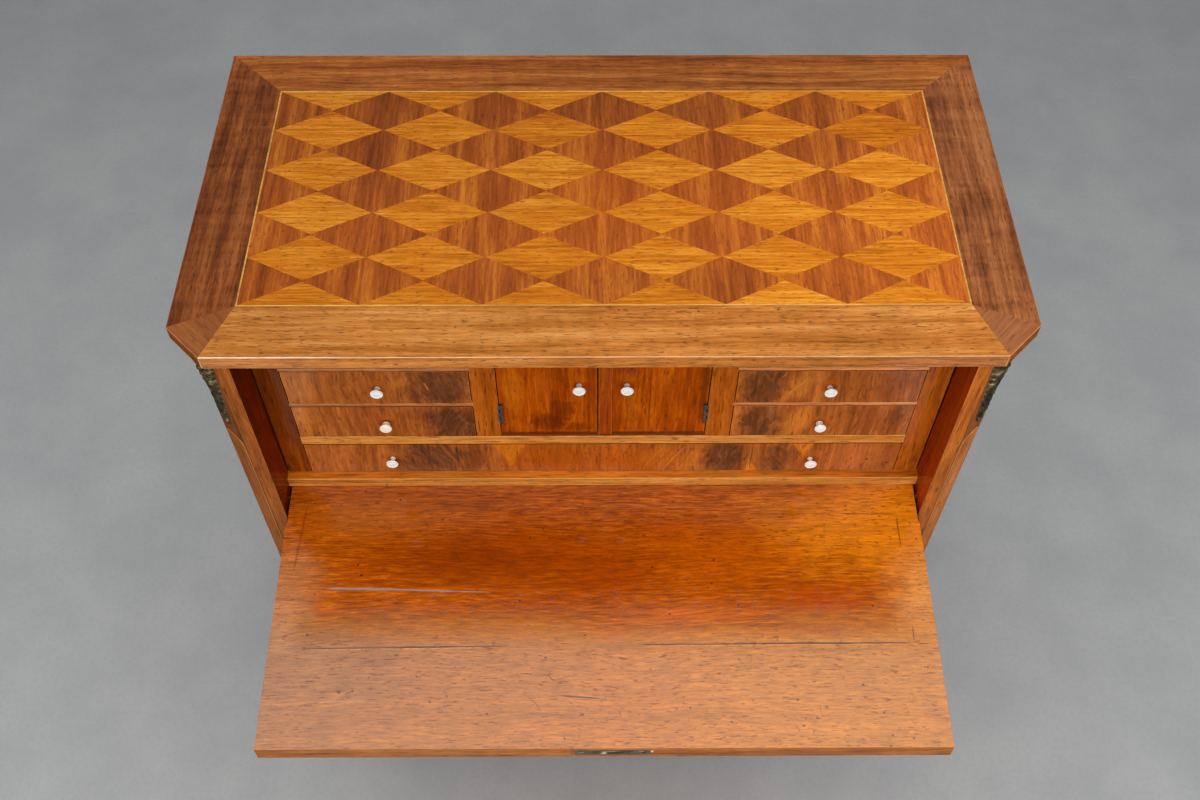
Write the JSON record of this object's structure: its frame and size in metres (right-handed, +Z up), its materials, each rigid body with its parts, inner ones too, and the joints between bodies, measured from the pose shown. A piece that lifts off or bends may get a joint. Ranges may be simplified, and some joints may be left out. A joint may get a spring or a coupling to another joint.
{
  "type": "escritoire",
  "caption": "Free-standing escritoire: parquetry top, drop-front writing flap on pivot hinges, fitted interior with drawers and a small cupboard, long drawers below, tapered feet.",
  "frame": {"origin": "on the floor, midway across the width and midway between the leading edge of the open fall and the back edge of the top", "axes": "+Z up, +X to the right of someone facing the front, +Y from the front to the back"},
  "size_m": [0.8, 0.6622, 1.03],
  "materials": {
    "top_wood": "satin polished, figured veneer",
    "border_veneer": "satin polished, straight-grained veneer",
    "light_veneer": "satin polished, golden veneer",
    "dark_veneer": "satin polished, reddish-brown veneer",
    "stringing": "satin polished, pale inlay",
    "case_wood": "satin polished",
    "strip_wood": "satin polished",
    "carcase_wood": "plain planed softwood",
    "interior_wood": "satin polished",
    "drawer_veneer": "polished figured veneer",
    "drawer_box_wood": "plain planed hardwood",
    "door_veneer": "polished veneer, upright grain",
    "fall_wood": "worn polish",
    "bronze": "dull aged cast bronze",
    "lock_metal": "darkened brass",
    "brass": "aged polished brass",
    "steel": "dull steel",
    "white_knob": "glossy, slightly yellowed white"
  },
  "bodies": {
    "case": {"top_board": "top_wood", "top_border_veneer": "border_veneer", "top_stringing": "stringing", "top_lozenges_light": "light_veneer", "top_lozenges_dark": "dark_veneer", "front_posts": "case_wood", "rear_posts": "case_wood", "side_panels": "case_wood", "back_panel": "carcase_wood", "base_board": "carcase_wood", "case_rails": "case_wood", "drawer_runners": "carcase_wood", "cant_strips": "strip_wood", "corner_mounts": "bronze", "interior_floor": "interior_wood", "interior_top": "interior_wood", "interior_side_uprights": "interior_wood", "interior_partitions": "interior_wood", "interior_shelf": "interior_wood", "interior_thin_shelves": "interior_wood", "fall_pivot_sockets": "brass", "door_hinge_case_leaves": "steel", "lock_keep": "lock_metal"},
    "fall": {"fall_panel": "fall_wood", "fall_cleats": "fall_wood", "fall_pivot_arms": "brass", "fall_lock": "lock_metal", "fall_escutcheon": "brass"},
    "lock_bolt": {"fall_lock_bolt": "lock_metal"},
    "left_door_body": {"left_door": "door_veneer", "left_door_knob": "white_knob", "left_door_hinge_leaves": "steel"},
    "right_door_body": {"right_door": "door_veneer", "right_door_strip": "interior_wood", "right_door_knob": "white_knob", "right_door_hinge_leaves": "steel"},
    "upper_left_drawer": {"upper_left_drawer_front": "drawer_veneer", "upper_left_drawer_box": "drawer_box_wood", "upper_left_drawer_knob": "white_knob"},
    "lower_left_drawer": {"lower_left_drawer_front": "drawer_veneer", "lower_left_drawer_box": "drawer_box_wood", "lower_left_drawer_knob": "white_knob"},
    "upper_right_drawer": {"upper_right_drawer_front": "drawer_veneer", "upper_right_drawer_box": "drawer_box_wood", "upper_right_drawer_knob": "white_knob"},
    "lower_right_drawer": {"lower_right_drawer_front": "drawer_veneer", "lower_right_drawer_box": "drawer_box_wood", "lower_right_drawer_knob": "white_knob"},
    "long_drawer": {"long_drawer_front": "drawer_veneer", "long_drawer_box": "drawer_box_wood", "long_drawer_knobs": "white_knob"},
    "top_drawer": {"top_drawer_front": "case_wood", "top_drawer_box": "drawer_box_wood", "top_drawer_knobs": "brass"},
    "middle_drawer": {"middle_drawer_front": "case_wood", "middle_drawer_box": "drawer_box_wood", "middle_drawer_knobs": "brass"},
    "bottom_drawer": {"bottom_drawer_front": "case_wood", "bottom_drawer_box": "drawer_box_wood", "bottom_drawer_knobs": "brass"}
  },
  "joints": [
    {"name": "fall_hinge", "type": "hinge", "parent": "case", "child": "fall", "pos_m": [0, -0.04747, 0.7286], "axis": [1, 0, 0], "range_deg": [-93.64, 0]},
    {"name": "lock_bolt_slide", "type": "slide", "parent": "fall", "child": "lock_bolt", "axis": [0, -0.998, -0.0635], "range_m": [0, 0.008]},
    {"name": "left_door_hinge", "type": "hinge", "parent": "case", "child": "left_door_body", "pos_m": [-0.1047, -0.02837, 0.91165], "axis": [0, 0, -1], "range_deg": [0, 95]},
    {"name": "right_door_hinge", "type": "hinge", "parent": "case", "child": "right_door_body", "pos_m": [0.1047, -0.02837, 0.91165], "axis": [0, 0, 1], "range_deg": [0, 95]},
    {"name": "upper_left_drawer_slide", "type": "slide", "parent": "case", "child": "upper_left_drawer", "axis": [0, -1, 0], "range_m": [0, 0.2]},
    {"name": "lower_left_drawer_slide", "type": "slide", "parent": "case", "child": "lower_left_drawer", "axis": [0, -1, 0], "range_m": [0, 0.2]},
    {"name": "upper_right_drawer_slide", "type": "slide", "parent": "case", "child": "upper_right_drawer", "axis": [0, -1, 0], "range_m": [0, 0.2]},
    {"name": "lower_right_drawer_slide", "type": "slide", "parent": "case", "child": "lower_right_drawer", "axis": [0, -1, 0], "range_m": [0, 0.2]},
    {"name": "long_drawer_slide", "type": "slide", "parent": "case", "child": "long_drawer", "axis": [0, -1, 0], "range_m": [0, 0.2]},
    {"name": "top_drawer_slide", "type": "slide", "parent": "case", "child": "top_drawer", "axis": [0, -1, 0], "range_m": [0, 0.26]},
    {"name": "middle_drawer_slide", "type": "slide", "parent": "case", "child": "middle_drawer", "axis": [0, -1, 0], "range_m": [0, 0.26]},
    {"name": "bottom_drawer_slide", "type": "slide", "parent": "case", "child": "bottom_drawer", "axis": [0, -1, 0], "range_m": [0, 0.26]}
  ]
}
